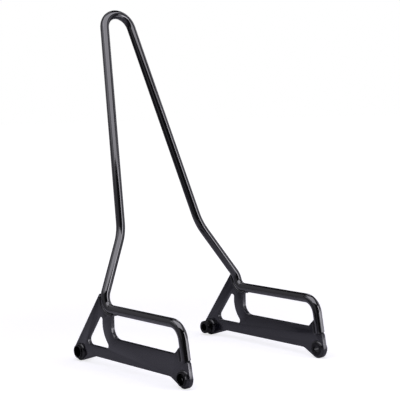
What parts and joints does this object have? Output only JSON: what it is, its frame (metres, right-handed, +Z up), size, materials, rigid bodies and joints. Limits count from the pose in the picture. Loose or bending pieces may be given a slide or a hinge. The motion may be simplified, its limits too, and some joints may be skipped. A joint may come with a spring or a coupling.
{
  "type": "sissy bar",
  "caption": "Low sissy bar for a motorbike: a bent round steel hoop on two flat side plates with welded mounting bushes, all powder coated gloss black",
  "frame": {"origin": "centre of the footprint: on the middle plane between the side plates, half way between the hoop's rearmost point and the front ears, at the height of the ears' lowest points", "axes": "+X to the bike's left, -Y to the bike's front, +Z up"},
  "size_m": [0.2562, 0.3102, 0.494],
  "materials": {
    "bar_coat": "gloss black powder coat",
    "plate_coat": "gloss black powder coat on flat plate",
    "bush_coat": "gloss black powder coat",
    "weld_coat": "gloss black powder coat over a weld bead"
  },
  "bodies": {
    "root": {"hoop_bar": "bar_coat", "right_plate": "plate_coat", "left_plate": "plate_coat", "right_front_bush": "bush_coat", "right_rear_bush": "bush_coat", "left_front_bush": "bush_coat", "left_rear_bush": "bush_coat", "right_front_bush_outer_weld": "weld_coat", "right_front_bush_inner_weld": "weld_coat", "right_rear_bush_outer_weld": "weld_coat", "right_rear_bush_inner_weld": "weld_coat", "left_front_bush_outer_weld": "weld_coat", "left_front_bush_inner_weld": "weld_coat", "left_rear_bush_outer_weld": "weld_coat", "left_rear_bush_inner_weld": "weld_coat", "right_arm_outer_weld": "weld_coat", "right_arm_inner_weld": "weld_coat", "left_arm_outer_weld": "weld_coat", "left_arm_inner_weld": "weld_coat", "right_leg_outer_weld": "weld_coat", "right_leg_inner_weld": "weld_coat", "left_leg_outer_weld": "weld_coat", "left_leg_inner_weld": "weld_coat"}
  },
  "joints": []
}
